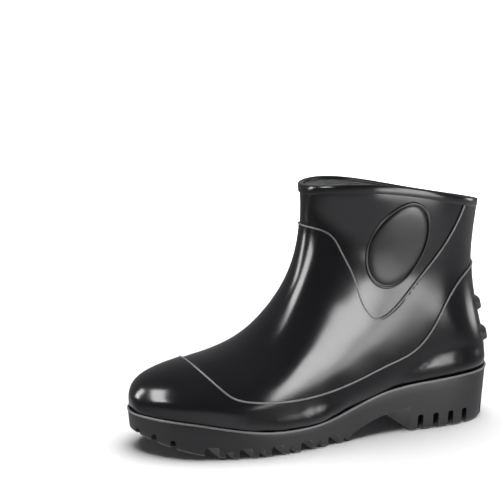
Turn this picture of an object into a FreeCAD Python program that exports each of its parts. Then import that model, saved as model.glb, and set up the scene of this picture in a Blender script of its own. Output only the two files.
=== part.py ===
import FreeCAD, Part
import math
import os
from collections import namedtuple

import Sketcher

# Short-shafted rubber rain boot for the left foot, built up from calendered rubber pieces on a last.
# Frame in millimetres: +Z up, toe towards -Y, heel towards +Y, outer (lateral) side of the foot at +X.
# The origin is on the ground at the middle of the boot's box. The ball and heel of the tread stand on z = 0.

Vector = FreeCAD.Vector
doc = FreeCAD.newDocument("RainBoot")

# ------------------------------------------------------------------ driving dimensions
DIMENSIONS = [
    ("sole_length", 300.0, "length of the outsole, toe tip to heel back"),
    ("sole_taper", 3.0, "how far the sidewall leans in at the ground"),
    ("sole_flare", 0.5, "how far the sidewall leans out at heel height"),
    ("toe_spring", 15.0, "rise of the tread under the toe tip"),
    ("spring_start", -75.0, "Y where the tread leaves the ground"),
    ("upper_gauge", 1.8, "rubber of the inner upper shell"),
    ("lining_gauge", 1.2, "knitted lining sock"),
    ("overlay_gauge", 0.9, "each rubber overlay: leg panel, then galosh"),
    ("piping_radius", 0.9, "radius of the round piping"),
    ("piping_gap", 0.05, "clearance beside the piping"),
    ("butt_gap", 0.4, "gap where a cord meets its own end"),
    ("binding_gauge", 1.2, "rubber of the top binding"),
    ("binding_depth", 6.5, "depth of the top binding's outer face"),
    ("binding_cap", 1.0, "rubber over the cut top edge"),
    ("binding_lap", 0.6, "rubber lapped inside the cut top edge"),
    ("stiffener_gauge", 0.6, "toe and heel stiffeners"),
    ("footbed_height", 4.5, "loose footbed"),
    ("footbed_gap", 0.3, "clearance round the footbed"),
    ("lasting_margin", 13.0, "upper turned in under the foot"),
    ("column_foot", -5.0, "foot of the column that takes out the upper's underside"),
    ("column_top", 45.0, "top of that column"),
    ("welt_radius", 1.0, "radius of the welt cord on the rand's ledge"),
    ("rim_front", 195.3, "height of the top edge at the shin"),
    ("rim_back", 177.0, "height of the top edge at the calf"),
    ("rim_crown", 5.3, "how far the top edge bows up at the sides"),
    ("rim_lean", 0.065, "rise of the top edge per millimetre towards the outer side"),
    ("lug_depth", 6.5, "depth of the forefoot grooves"),
    ("lug_pitch", 24.6, "spacing of the wide forefoot grooves"),
    ("first_groove", -101.0, "Y of the wide groove nearest the toe"),
    ("wide_groove", 10.0, "width of a wide groove at the ground"),
    ("narrow_groove", 5.0, "width of a narrow slot at the ground"),
    ("slot_reach", 17.0, "how far a narrow slot reaches in from the side"),
    ("heel_breast", 69.0, "Y of the heel's front face at the ground"),
    ("heel_slot_first", 76.4, "Y of the first heel slot"),
    ("heel_slot_pitch", 13.6, "spacing of the heel slots"),
    ("heel_slot_depth", 13.0, "height of a heel slot"),
    ("heel_slot_reach", 12.0, "how far a heel slot reaches in from the side"),
    ("badge_y", 52.0, "centre of the oval side badge"),
    ("badge_z", 150.8, "height of the badge's centre"),
    ("badge_long", 35.5, "badge's long half-axis"),
    ("badge_short", 22.8, "badge's short half-axis"),
    ("badge_tilt", 19.0, "badge's lean towards the heel, degrees"),
    ("badge_rim", 2.4, "width of the badge's raised rim"),
    ("badge_rim_lift", 1.5, "height of that rim over the upper"),
    ("badge_groove", 0.4, "groove between the rim and the plate"),
    ("badge_plate_lift", 1.3, "height of the plate over the upper"),
    ("spur_reach", 3.6, "how far the kick spurs stand out"),
    ("core_y", 107.0, "middle of the heel core"),
    ("core_z", 14.0, "underside of the heel core"),
    ("core_length", 46.0, "heel core, along the foot"),
    ("core_width", 40.0, "heel core, across the foot"),
    ("core_height", 11.0, "heel core, thickness"),
    ("core_corner", 10.0, "heel core's corner radius"),
]

sheet = doc.addObject("Spreadsheet::Sheet", "Dimensions")
for row, (alias, value, meaning) in enumerate(DIMENSIONS, start=1):
    sheet.set(f"A{row}", meaning)
    sheet.set(f"B{row}", str(value))
    sheet.setAlias(f"B{row}", alias)

# Fan of cross-sections from the toe, round the instep, to the top. Each plane holds the X direction and runs
# from a point on the back and bottom profile to a point on the front and top profile, both (Y, Z).
# lateral and medial are its widest X; belly is the height share of that; crown and floor are the
# superellipse exponents above and below it.
Station = namedtuple("Station", "name top bottom lateral medial belly crown floor")
STATIONS = [
    Station("toe_tip", (-145.3, 42.5), (-145.5, 33.5), -2.5, -15.0, 0.45, 2.0, 2.6),
    Station("toe_face", (-140.0, 50.0), (-143.0, 27.0), 9.0, -27.0, 0.43, 2.1, 3.2),
    Station("toe_dome", (-127.0, 57.5), (-131.0, 20.5), 25.0, -39.0, 0.41, 2.15, 4.0),
    Station("toe_back", (-107.0, 63.0), (-111.0, 16.5), 38.5, -47.0, 0.38, 2.2, 4.5),
    Station("tread", (-82.0, 69.0), (-84.0, 14.0), 47.0, -50.0, 0.36, 2.15, 4.5),
    Station("ball", (-56.0, 81.0), (-53.0, 13.5), 50.0, -47.0, 0.34, 2.1, 4.5),
    Station("vamp", (-36.0, 101.0), (-19.0, 15.0), 47.0, -40.5, 0.33, 2.1, 4.5),
    Station("arch", (-22.0, 123.0), (20.0, 20.0), 41.5, -36.0, 0.34, 2.1, 4.2),
    Station("instep", (-14.5, 143.0), (62.0, 27.0), 38.0, -35.0, 0.36, 2.1, 3.6),
    Station("ankle", (-11.5, 158.0), (104.0, 31.0), 37.0, -35.5, 0.40, 2.15, 3.0),
    Station("heel_seat", (-10.8, 168.0), (143.5, 41.0), 37.0, -36.0, 0.44, 2.2, 2.5),
    Station("heel_curve", (-10.4, 176.0), (144.3, 68.0), 37.0, -36.5, 0.47, 2.2, 2.25),
    Station("heel_back", (-10.0, 183.0), (135.8, 102.0), 39.0, -38.5, 0.50, 2.2, 2.2),
    Station("calf", (-9.6, 189.0), (132.2, 137.0), 43.5, -43.0, 0.50, 2.2, 2.2),
    Station("rim", (-9.2, 194.0), (134.8, 172.0), 48.0, -48.0, 0.50, 2.2, 2.2),
    Station("above_rim", (-8.5, 206.0), (138.0, 212.0), 51.5, -51.5, 0.50, 2.2, 2.2),
]

WORDS = ("top_y", "top_z", "bottom_y", "bottom_z", "lateral", "medial", "belly", "crown", "floor")
stations = doc.addObject("Spreadsheet::Sheet", "Stations")
for row, station in enumerate(STATIONS, start=1):
    values = [*station.top, *station.bottom, *station[3:]]
    stations.set(f"A{row}", station.name)
    for column, value, word in zip("BCDEFGHIJ", values, WORDS):
        cell = f"{column}{row}"
        stations.set(cell, str(value))
        stations.setAlias(cell, f"{station.name}_{word}")
doc.recompute()


def size(alias):
    """A driving dimension, read back from the sheet."""
    return float(getattr(sheet, alias))


def station_values(name):
    """One station's numbers, read back from the sheet of stations."""
    top_y, top_z, bottom_y, bottom_z, *rest = [float(getattr(stations, f"{name}_{word}")) for word in WORDS]
    return Station(name, (top_y, top_z), (bottom_y, bottom_z), *rest)


# ------------------------------------------------------------------ side-view lines, (Y, Z)
TOP_LINE = 64.5  # Y of the middle of the top opening
TOP_HALF = 73.5  # half its length
COLLAR_LINE = [
    (-40, 164), (-9, 164), (2, 160), (10, 146), (17, 130), (21.5, 114), (27, 101), (36, 93.5), (45, 96),
    (57, 106), (70.5, 121.5), (84, 138), (97, 156.5), (107, 175), (113, 190), (118, 205),
]
GALOSH_LINE = [
    (-116, 90), (-105, 65), (-96, 55), (-86, 46.5), (-73, 43), (-50, 41.3), (-26, 41.3), (-2, 43.7),
    (22, 49.3), (48, 57.5), (67, 64.5), (79, 74.5), (89, 89), (100, 106.5), (113, 119.5), (128, 126.5),
    (150, 129), (175, 129),
]
RAND_LINE = [
    (-165, 29.5), (-134, 29), (-111, 26.8), (-83, 21.8), (-58, 18.4), (-32, 17.6), (-13, 18.8),
    (12, 25), (39, 33), (58, 36.6), (81, 38.8), (114, 40.5), (165, 41),
]
ARCH_LINE = [(12, 0), (15, 5.5), (29, 11.5), (48, 17), (66, 20)]
# Plan outline of the rand's top edge, (X, Y), from the toe tip by the outer side to the heel and back.
SOLE_OUTLINE = [
    (-8, -150), (14, -142), (34, -122), (47, -92), (53, -60), (51, -28), (44, 8), (38.5, 48), (39, 88),
    (36, 118), (24, 140), (0, 150), (-23, 140), (-35.5, 118), (-37.5, 88), (-34, 48), (-33, 8),
    (-41, -28), (-49.5, -60), (-52, -92), (-45, -122), (-29, -142),
]
FAR = 230.0  # beyond the boot in every direction
SIDE = 90.0  # beyond the boot in X


# ------------------------------------------------------------------ helpers
def curve(points):
    spline = Part.BSplineCurve()
    spline.interpolate(Points=points)
    return spline.toShape()


def ring(points):
    """A closed smooth curve, evenly spaced in its parameter, so rings of equal count share knots."""
    spline = Part.BSplineCurve()
    even = [k / len(points) for k in range(len(points) + 1)]
    spline.interpolate(Points=points, PeriodicFlag=True, Parameters=even)
    return spline


def skinned_solid(rings):
    """A solid with one smooth surface through the rings and a flat face over each end ring."""
    rings_at = [0.0]
    for a, b in zip(rings, rings[1:]):
        gaps = [(p - q).Length for p, q in zip(a.getPoles(), b.getPoles())]
        rings_at.append(rings_at[-1] + sum(gaps) / len(gaps))
    lengthwise = []
    for column in zip(*[r.getPoles() for r in rings]):
        spline = Part.BSplineCurve()
        spline.interpolate(Points=list(column), Parameters=rings_at)
        lengthwise.append(spline)
    around, along = rings[0], lengthwise[0]
    surface = Part.BSplineSurface()
    surface.buildFromPolesMultsKnots(
        [spline.getPoles() for spline in lengthwise],
        around.getMultiplicities(),
        along.getMultiplicities(),
        around.getKnots(),
        along.getKnots(),
        True,
        False,
        3,
        3,
    )
    ends = [Part.Face(Part.Wire([r.toShape()])) for r in (rings[0], rings[-1])]
    shell = Part.Shell([surface.toShape(), *ends])
    shell.sewShape()
    return Part.Solid(shell)


def side_view(points):
    """Points of the side view as an edge in the plane x = -SIDE."""
    return curve([Vector(-SIDE, y, z) for y, z in points])


def through_boot(edges, rise=0.0):
    """A closed side-view outline, pushed through the boot, rising towards the outer side."""
    return Part.Face(Part.Wire(Part.__sortEdges__(edges))).extrude(Vector(2 * SIDE, 0, 2 * SIDE * rise))


def corners(points):
    """Straight side-view edges through the points."""
    at = [Vector(-SIDE, y, z) for y, z in points]
    return [Part.LineSegment(a, b).toShape() for a, b in zip(at, at[1:])]


def below(line, rise=0.0):
    """All of the side view below a line."""
    (y0, z0), (y1, z1) = line[0], line[-1]
    box = [(y1, z1), (FAR, z1), (FAR, -FAR), (-FAR, -FAR), (-FAR, z0), (y0, z0)]
    return through_boot([side_view(line), *corners(box)], rise)


def shifted(line, distance):
    """A side-view line moved sideways: up where it runs towards the heel."""
    moved = []
    for k, (y, z) in enumerate(line):
        (ya, za), (yb, zb) = line[max(k - 1, 0)], line[min(k + 1, len(line) - 1)]
        run = math.hypot(yb - ya, zb - za)
        moved.append((y - distance * (zb - za) / run, z + distance * (yb - ya) / run))
    return moved


def rim_height(y, drop=0.0, x=0.0):
    """Height of the boot's top edge: falling towards the calf, bowed up, and higher on the outer side."""
    along = (y - TOP_LINE + TOP_HALF) / (2 * TOP_HALF)
    fall = (size("rim_front") - size("rim_back")) * (1 - math.cos(math.pi * along)) / 2
    bow = 4 * size("rim_crown") * along * (1 - along)
    return size("rim_front") - fall + bow + size("rim_lean") * x - drop


def under_rim(drop=0.0):
    """Everything lower than the boot's top edge, less a drop."""
    steps = 5
    places = [TOP_LINE + 1.3 * TOP_HALF * k / steps for k in range(-steps, steps + 1)]
    return below([(y, rim_height(y, drop, -SIDE)) for y in places], size("rim_lean"))


def outward(points, k):
    """Unit normal of a profile at its point k, to the left of its direction."""
    (ya, za), (yb, zb) = points[max(k - 1, 0)], points[min(k + 1, len(points) - 1)]
    run = math.hypot(yb - ya, zb - za)
    return -(zb - za) / run, (yb - ya) / run


def section(station, top, bottom, spread):
    """One closed superellipse section of the fan."""
    per_quarter = 8
    middle = (station.lateral + station.medial) / 2
    half = (station.lateral - station.medial) / 2 + spread
    points = []
    for side in (1, -1):
        around = []
        for k in range(2 * per_quarter + 1):
            angle = math.pi * k / (2 * per_quarter)
            lower = k <= per_quarter
            power = 2 / (station.floor if lower else station.crown)
            out = abs(math.sin(angle)) ** power
            reach = abs(math.cos(angle)) ** power
            share = station.belly * (1 - reach) if lower else station.belly + (1 - station.belly) * reach
            y = bottom[0] + (top[0] - bottom[0]) * share
            z = bottom[1] + (top[1] - bottom[1]) * share
            around.append(Vector(middle + side * half * out, y, z))
        points += around[:-1] if side == 1 else list(reversed(around))[:-1]
    return ring(points)


def last_shape(offset, longer=0.0):
    """The boot's form, grown by an offset from the outer face of the inner upper."""
    rows = [station_values(s.name) for s in STATIONS]
    tops, bottoms = [s.top for s in rows], [s.bottom for s in rows]
    rings = []
    for k, station in enumerate(rows):
        up, down = outward(tops, k), outward(bottoms, k)
        top = (station.top[0] + up[0] * offset, station.top[1] + up[1] * offset)
        bottom = (station.bottom[0] - down[0] * offset, station.bottom[1] - down[1] * offset)
        if k == len(rows) - 1:
            top = (top[0], top[1] + longer)
            bottom = (bottom[0], bottom[1] + longer)
        spread = offset * (0.5, 0.8)[k] if k < 2 else offset
        rings.append(section(station, top, bottom, spread))
    return skinned_solid(rings)


def feature(name, shape):
    """A sub-part whose shape is worked out in this script."""
    made = doc.addObject("Part::Feature", name)
    made.Label = name
    made.Shape = shape
    made.Placement = FreeCAD.Placement()
    return made


def solid_of(shape):
    """The shape's solids without boolean seams, as one solid if there is one."""
    solids = shape.removeSplitter().Solids
    return solids[0] if len(solids) == 1 else Part.makeCompound(solids)


# ------------------------------------------------------------------ layers of the boot, inside to outside
upper_gauge, lining_gauge = size("upper_gauge"), size("lining_gauge")
overlay = size("overlay_gauge")
inside = -(upper_gauge + lining_gauge)
CLEAR = 12.0  # an inner form runs this far past the outer one at the top

foot_form = last_shape(inside, CLEAR)
lining_form = last_shape(-upper_gauge, CLEAR)
upper_form = last_shape(0.0)
upper_tool = last_shape(0.0, CLEAR)
leg_form = last_shape(overlay)
leg_tool = last_shape(overlay, CLEAR)
galosh_form = last_shape(2 * overlay)
galosh_tool = last_shape(2 * overlay, CLEAR)

shell_top = under_rim(size("binding_cap"))
panel_top = under_rim(size("binding_depth"))


def sole_ring(height, grow):
    """The rand's outline at a height, grown outward."""
    count = len(SOLE_OUTLINE)
    share = size("sole_length") / 300.0
    points = []
    for k, (x, y) in enumerate(SOLE_OUTLINE):
        (xa, ya), (xb, yb) = SOLE_OUTLINE[k - 1], SOLE_OUTLINE[(k + 1) % count]
        run = math.hypot(xb - xa, yb - ya)
        points.append(Vector(x + grow * (yb - ya) / run, (y - grow * (xb - xa) / run) * share, height))
    return ring(points)


def inset_column():
    """The ground inside the lasting margin, as an upright column from below the sole into the foot."""
    outline = sole_ring(size("column_foot"), -size("lasting_margin"))
    facets = 2 * len(SOLE_OUTLINE)
    points = [outline.value(k / facets) for k in range(facets)]
    height = size("column_top") - size("column_foot")
    return Part.Face(Part.makePolygon([*points, points[0]])).extrude(Vector(0, 0, height))


def under_floor(rise):
    """Everything below the foot's floor, raised: straight runs between the stations' lowest points."""
    line = [(-165, 27.0), (-143, 27.0), *(s.bottom for s in STATIONS[2:10]), (135, 35.0), (165, 38.0)]
    line = [(y, z + rise) for y, z in line]
    return through_boot(corners([*line, (165, -FAR), (-165, -FAR), line[0]]))


# The column takes the underside out of each layer of the upper: board and filler replace it there.
column = inset_column()

# Lining sock, with the toe and heel stiffeners let into its outer face.
lining_shell = lining_form.cut(foot_form).common(shell_top)
stiffener_skin = lining_form.cut(last_shape(-upper_gauge - size("stiffener_gauge"), CLEAR))
toe_zone = through_boot(corners([(-FAR, 22), (-118, 22), (-100, 62), (-100, 90), (-FAR, 90), (-FAR, 22)]))
heel_zone = through_boot(corners([(96, 40), (FAR, 40), (FAR, 112), (122, 112), (96, 40)]))
feature("toe_stiffener", solid_of(stiffener_skin.common(toe_zone)))
feature("heel_stiffener", solid_of(stiffener_skin.common(heel_zone)))
lining_shell = lining_shell.cut(doc.toe_stiffener.Shape).cut(doc.heel_stiffener.Shape)
feature("lining_sock", solid_of(lining_shell))

# Inner upper: the full-height rubber shell whose bare top is the collar.
upper_shell = upper_form.cut(lining_form).common(shell_top)
feature("insole_board", solid_of(upper_form.common(column).cut(lining_form)))
feature("upper_shell", solid_of(upper_shell.cut(column)))

# Leg panel over it, from the collar line down, and the galosh over that, from its line down.
leg_shell = leg_form.cut(upper_tool).common(panel_top).common(below(COLLAR_LINE))
galosh_shell = galosh_form.cut(leg_tool).common(below(GALOSH_LINE))
feature("leg_panel", solid_of(leg_shell.cut(column)))
feature("galosh", solid_of(galosh_shell.cut(column)))
feature("sole_filler", solid_of(galosh_form.common(column).cut(upper_tool)))


def cord(name, line, rest_offset, radius):
    """A round cord beside a panel's edge, lying on the layer at rest_offset from the inner upper.

    It stops short of the top binding, or butts against its own end with a small gap.
    """
    lift = radius + size("piping_gap")
    cut_line = side_view(shifted(line, lift))
    medial_sheet = cut_line.extrude(Vector(SIDE, 0, 0))
    lateral_sheet = medial_sheet.translated(Vector(SIDE, 0, 0))
    form = last_shape(rest_offset + lift)
    edges = [*form.section(medial_sheet).Edges, *form.section(lateral_sheet).Edges]
    loops = [Part.Wire(run) for run in Part.sortEdges(edges)]
    points = max(loops, key=lambda wire: wire.Length).discretize(Distance=6.0)
    limit = size("binding_depth") + 2 * radius
    hidden = [p.z >= rim_height(p.y, limit, p.x) for p in points]
    if any(hidden):
        first = hidden.index(True)
        turned = zip(points[first:] + points[:first], hidden[first:] + hidden[:first])
        points = [p for p, out in turned if not out]
    elif (points[0] - points[-1]).Length < radius:
        back = points[-2] - points[-1]
        points[-1] = points[-1] + back * (size("butt_gap") / back.Length)
    path = Part.BSplineCurve()
    path.interpolate(Points=points)
    start = path.FirstParameter
    circle = Part.Wire([Part.makeCircle(radius, path.value(start), path.tangent(start)[0])])
    feature(name, Part.Wire([path.toShape()]).makePipeShell([circle], True, True))


# Round piping against the edge of each panel.
cord("collar_piping", COLLAR_LINE, 0.0, size("piping_radius"))
cord("galosh_piping", GALOSH_LINE, overlay, size("piping_radius"))

# Binding folded over the cut top edge.
binding = last_shape(size("binding_gauge")).cut(last_shape(inside - size("binding_lap"), CLEAR))
binding = binding.common(under_rim()).cut(under_rim(size("binding_depth")))
edge = upper_form.cut(foot_form).common(shell_top)
feature("top_binding", solid_of(binding.cut(edge)))

# Footbed lying loose in the sock.
footbed_form = last_shape(inside - size("footbed_gap"), CLEAR)
lift = -inside + size("footbed_gap") + size("footbed_height")
feature("footbed", solid_of(footbed_form.common(under_floor(lift))))


# ------------------------------------------------------------------ oval badge on the outer side
def oval(grow):
    """The badge's ellipse, leaning towards the heel, pushed outwards from the middle plane."""
    lean = math.radians(size("badge_tilt"))
    long_way = Vector(0, math.sin(lean), math.cos(lean))
    short_way = Vector(0, -math.cos(lean), math.sin(lean))
    centre = Vector(0, size("badge_y"), size("badge_z"))
    long_end = centre + long_way * (size("badge_long") + grow)
    short_end = centre + short_way * (size("badge_short") + grow)
    ellipse = Part.Ellipse(long_end, short_end, centre)
    return Part.Face(Part.Wire([ellipse.toShape()])).extrude(Vector(SIDE, 0, 0))


badge_rim = size("badge_rim")
ring_zone = oval(0.0).cut(oval(-badge_rim))
plate_zone = oval(-badge_rim - size("badge_groove"))
feature("badge_rim", solid_of(ring_zone.common(last_shape(size("badge_rim_lift"))).cut(upper_tool)))
feature("badge_plate", solid_of(plate_zone.common(last_shape(size("badge_plate_lift"))).cut(upper_tool)))

# ------------------------------------------------------------------ kick spurs across the heel's back
spur_skin = last_shape(2 * overlay + size("spur_reach")).cut(galosh_tool)


def spur(name, low, high, half_low, half_high):
    """A lug across the heel's back, wider at its top edge."""
    ends = [(-half_high, high), (half_high, high), (half_low, low), (-half_low, low), (-half_high, high)]
    outline = Part.makePolygon([Vector(x, 100, z) for x, z in ends])
    block = Part.Face(outline).extrude(Vector(0, 80, 0))
    feature(name, solid_of(spur_skin.common(block)))


spur("kick_spur_upper", 87.0, 96.5, 17.0, 23.0)
spur("kick_spur_lower", 62.0, 71.5, 19.0, 25.0)

# ------------------------------------------------------------------ outsole
GROUND_TOP = 48.0  # above the highest point of the rand


def sole_block(levels):
    """A solid with straight sides through the rand's outline, grown by each (height, growth)."""
    return Part.makeLoft([Part.Wire([sole_ring(*level).toShape()]) for level in levels], True, True)


def tread_height(y):
    """Height of the tread's underside: flat, then curving up under the toe."""
    past = min(y - size("spring_start"), 0.0) / (size("sole_length") / 2 + size("spring_start"))
    return size("toe_spring") * past * past


spring_line = [(y, tread_height(y)) for y in (-165, -150, -135, -120, -105, -90, size("spring_start"))]
ground = [side_view(spring_line), side_view(ARCH_LINE)]
ground += corners([spring_line[-1], ARCH_LINE[0]])
breast_foot = (size("heel_breast"), 0)
ground += corners([ARCH_LINE[-1], breast_foot, (165, 0), (165, -30), (-165, -30), spring_line[0]])
block = sole_block([(-12.0, -size("sole_taper") - 0.6), (GROUND_TOP, size("sole_flare"))])
rand = block.common(below(RAND_LINE)).cut(through_boot(ground))


def groove(y, width, depth, x_from, x_to):
    """A tapered groove across the tread at Y, open far below the ground."""
    base = tread_height(y)
    run_out = 8.0
    low, high = base - run_out, base + depth
    roof = 0.36 * width
    mouth = 0.5 * width * (1 + 0.25 * run_out / depth)
    section = [(y - mouth, low), (y - roof, high), (y + roof, high), (y + mouth, low), (y - mouth, low)]
    outline = Part.makePolygon([Vector(x_from, across, z) for across, z in section])
    return Part.Face(outline).extrude(Vector(x_to - x_from, 0, 0))


def half_width(y, side):
    """The rand's X at Y on one side, from the outline."""
    line = [p for p in SOLE_OUTLINE if p[0] * side > -9]
    line.sort(key=lambda p: p[1])
    for (xa, ya), (xb, yb) in zip(line, line[1:]):
        if ya <= y <= yb:
            return xa + (xb - xa) * (y - ya) / (yb - ya)
    return 0.0


cutters = []
WIDE_GROOVES, HEEL_SLOTS = 5, 4
for k in range(WIDE_GROOVES):
    y = size("first_groove") + k * size("lug_pitch")
    cutters.append(groove(y, size("wide_groove"), size("lug_depth"), -SIDE, SIDE))
    y += size("lug_pitch") / 2
    for side in (1, -1):
        inner = half_width(y, side) - side * size("slot_reach")
        cutters.append(groove(y, size("narrow_groove"), size("lug_depth"), inner, side * SIDE))
for k in range(HEEL_SLOTS):
    y = size("heel_slot_first") + k * size("heel_slot_pitch")
    for side in (1, -1):
        inner = half_width(y, side) - side * size("heel_slot_reach")
        cutters.append(groove(y, size("narrow_groove"), size("heel_slot_depth"), inner, side * SIDE))
# Radial slots round the toe and at the heel's back.
TOE_CENTRE = Vector(-8, -98, 0)
HEEL_CENTRE = Vector(0, 110, 0)
for centre, reach, turns, depth in (
    (TOE_CENTRE, 36.0, (-50, -29, -8, 12, 31, 51), size("lug_depth")),
    (HEEL_CENTRE, 26.0, (144, 180, 216), size("heel_slot_depth")),
):
    for turn in turns:
        slot = groove(0.0, size("narrow_groove"), depth, reach, reach + 60)
        slot_y = centre.y - (reach + 10) * math.cos(math.radians(turn))
        slot.Placement = FreeCAD.Placement(
            Vector(centre.x, centre.y, tread_height(slot_y)), FreeCAD.Rotation(Vector(0, 0, 1), turn - 90)
        )
        cutters.append(slot)
for cutter in cutters:
    rand = rand.cut(cutter)

# Heel core: a lighter block in the hollow of the heel.
core_body = doc.addObject("PartDesign::Body", "heel_core")
core_body.Label = "heel_core"
core_body.setExpression("Placement.Base.y", "Dimensions.core_y")
core_body.setExpression("Placement.Base.z", "Dimensions.core_z")
core_sketch = core_body.newObject("Sketcher::SketchObject", "heel_core_outline")
xy_plane = next(f for f in core_body.Origin.OriginFeatures if f.Role == "XY_Plane")
core_sketch.AttachmentSupport = [(xy_plane, "")]
core_sketch.MapMode = "FlatFace"
half_x, half_y = size("core_width") / 2, size("core_length") / 2
around_core = ((-half_x, -half_y), (half_x, -half_y), (half_x, half_y), (-half_x, half_y))
core_corners = [Vector(x, y, 0) for x, y in around_core]
for k in range(4):
    core_sketch.addGeometry(Part.LineSegment(core_corners[k], core_corners[(k + 1) % 4]), False)
for k in range(4):
    core_sketch.addConstraint(Sketcher.Constraint("Coincident", k, 2, (k + 1) % 4, 1))
for k, kind in enumerate(("Horizontal", "Vertical", "Horizontal", "Vertical")):
    core_sketch.addConstraint(Sketcher.Constraint(kind, k))
core_sketch.addConstraint(Sketcher.Constraint("Symmetric", 0, 1, 1, 2, -1, 1))
width_rule = core_sketch.addConstraint(Sketcher.Constraint("DistanceX", 0, 1, 0, 2, 2 * half_x))
core_sketch.setExpression(f"Constraints[{width_rule}]", "Dimensions.core_width")
length_rule = core_sketch.addConstraint(Sketcher.Constraint("DistanceY", 1, 1, 1, 2, 2 * half_y))
core_sketch.setExpression(f"Constraints[{length_rule}]", "Dimensions.core_length")
core_pad = core_body.newObject("PartDesign::Pad", "heel_core_pad")
core_pad.Profile = core_sketch
core_pad.setExpression("Length", "Dimensions.core_height")
doc.recompute()
core_fillet = core_body.newObject("PartDesign::Fillet", "heel_core_corners")
edges = enumerate(core_pad.Shape.Edges, start=1)
upright = [f"Edge{k}" for k, edge in edges if abs(edge.tangentAt(edge.FirstParameter).z) > 0.99]
core_fillet.Base = (core_pad, upright)
core_fillet.setExpression("Radius", "Dimensions.core_corner")
doc.recompute()

outsole = rand.cut(galosh_tool).cut(core_body.Shape)
feature("outsole", solid_of(outsole))

# Welt cord on the rand's ledge, against the galosh.
cord("welt_strip", RAND_LINE, 2 * overlay, size("welt_radius"))

# ------------------------------------------------------------------ checks and export
doc.recompute()
for made in doc.Objects:
    bad = [word for word in made.State if word in ("Invalid", "Error")]
    if bad:
        raise RuntimeError(f"{made.Label} failed: {bad}")

SUBPARTS = [
    "outsole", "heel_core", "sole_filler", "insole_board", "footbed", "lining_sock", "toe_stiffener",
    "heel_stiffener", "upper_shell", "leg_panel", "galosh", "collar_piping", "galosh_piping", "welt_strip",
    "top_binding", "badge_rim", "badge_plate", "kick_spur_upper", "kick_spur_lower",
]
os.makedirs("parts", exist_ok=True)
for name in SUBPARTS:
    made = next(o for o in doc.Objects if o.Label == name)
    shape = made.Shape
    if shape.isNull() or not shape.isValid() or not shape.Solids:
        raise RuntimeError(f"{name} has no valid solid")
    shape.exportStep(f"parts/{name}.step")
    print(f"{name:16s} solids {len(shape.Solids)} volume {shape.Volume / 1000:7.2f} cm3 {shape.BoundBox}")
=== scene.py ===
import math

import bmesh
import bpy
import numpy as np
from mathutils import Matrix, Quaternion, Vector

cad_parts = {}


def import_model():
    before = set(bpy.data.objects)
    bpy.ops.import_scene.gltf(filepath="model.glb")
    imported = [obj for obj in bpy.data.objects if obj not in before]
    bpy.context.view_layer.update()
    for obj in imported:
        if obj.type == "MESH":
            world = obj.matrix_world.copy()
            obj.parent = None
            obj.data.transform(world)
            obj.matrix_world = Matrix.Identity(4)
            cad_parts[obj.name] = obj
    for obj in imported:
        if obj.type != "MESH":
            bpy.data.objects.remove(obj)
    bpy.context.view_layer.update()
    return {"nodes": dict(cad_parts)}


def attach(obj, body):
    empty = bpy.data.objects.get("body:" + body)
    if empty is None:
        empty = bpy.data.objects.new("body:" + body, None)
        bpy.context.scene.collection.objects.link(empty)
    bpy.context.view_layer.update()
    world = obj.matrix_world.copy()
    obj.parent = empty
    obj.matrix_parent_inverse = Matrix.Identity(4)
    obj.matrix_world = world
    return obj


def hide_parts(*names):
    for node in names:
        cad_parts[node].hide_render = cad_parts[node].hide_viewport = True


# Rubber rain boot, left foot. This script works in millimetres and the scene in metres.
# +Z is up, the toe is at -Y and the badge at +X.
MM = 0.001
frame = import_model()
scene = bpy.context.scene

# ------------------------------------------------------------------ dimensions, the same as the CAD's
WALL = 3.0  # rubber and lining of the shaft
OVERLAY = 0.9  # each rubber overlay: leg panel, then galosh
SHELL_GAUGE = 1.8  # the upper shell's own rubber
LINING_GAUGE = 1.1
SHEET_GAP = 0.02  # keeps a sheet's inner face off the one below it
SHEET_DROP = 1.2  # the shell and the lining end this far below the top edge
PIPING_RADIUS = 0.7
CORD_LIFT, CORD_SHIFT = 0.2, 0.3  # a cord stands this far off the sheet under it and outside the cut edge
CORD_STEP = 1.2  # spacing of the rings along every cord
WELT_RADIUS = 0.8
WELT_LIFT, WELT_GROW = 0.3, -0.1  # the welt's centre above and outside the ledge's outer edge
BINDING_GAUGE = 1.2
BINDING_DEPTH = 6.5
FOOTBED_LIFT = 7.8  # footbed's top above the boot's outer floor
FOOTBED_FRONT, FOOTBED_BACK = -138.0, 134.0
TOE_SPRING = 15.0
SPRING_START = -75.0
HEEL_BREAST = 69.0
SOLE_TAPER = 3.0
SOLE_FLARE = 0.5
RAND_TOP = 48.0
RAND_LIP = (1.7, 2.8)  # least and greatest width of the ledge outside the galosh
FLARE_TOP = 34.0  # the upper keeps its own shape this far above the rand
FLARE_DEPTH = 12.0  # and this far below it
LIP_BAND = 1.5  # the ledge's width is measured this near the rand's height
LIP_SMOOTHING = 6  # steps of the outline to each side that the width is averaged over
RIM_FRONT, RIM_BACK = 195.3, 177.0  # height of the top edge at the shin and at the calf
RIM_CROWN = 5.3  # how far it bows up between them
RIM_LEAN = 0.065  # its rise per millimetre towards the outer side
RIM_OVERHANG, RIM_LENGTH = 9.0, 147.0  # the top opening reaches this far in front of y = 0, and is this long
BADGE_Y, BADGE_Z = 52.0, 150.8
BADGE_LONG, BADGE_SHORT = 35.5, 22.8  # half-axes
BADGE_TILT = 19.0
SPUR_REACH = 3.6
SPUR_ROUND = 2.2  # width of a spur's rounded edge
QUARTER = (0, 22, 45, 68, 90)  # degrees round every rounded edge of the outsole
GROOVE_ROUND = 2.6  # greatest radius of a groove's roof
GROUND_ROUND = 2.0  # radius of the outsole's ground edge
LEDGE_ROUND = 1.3  # radius of the ledge's outer edge
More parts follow.
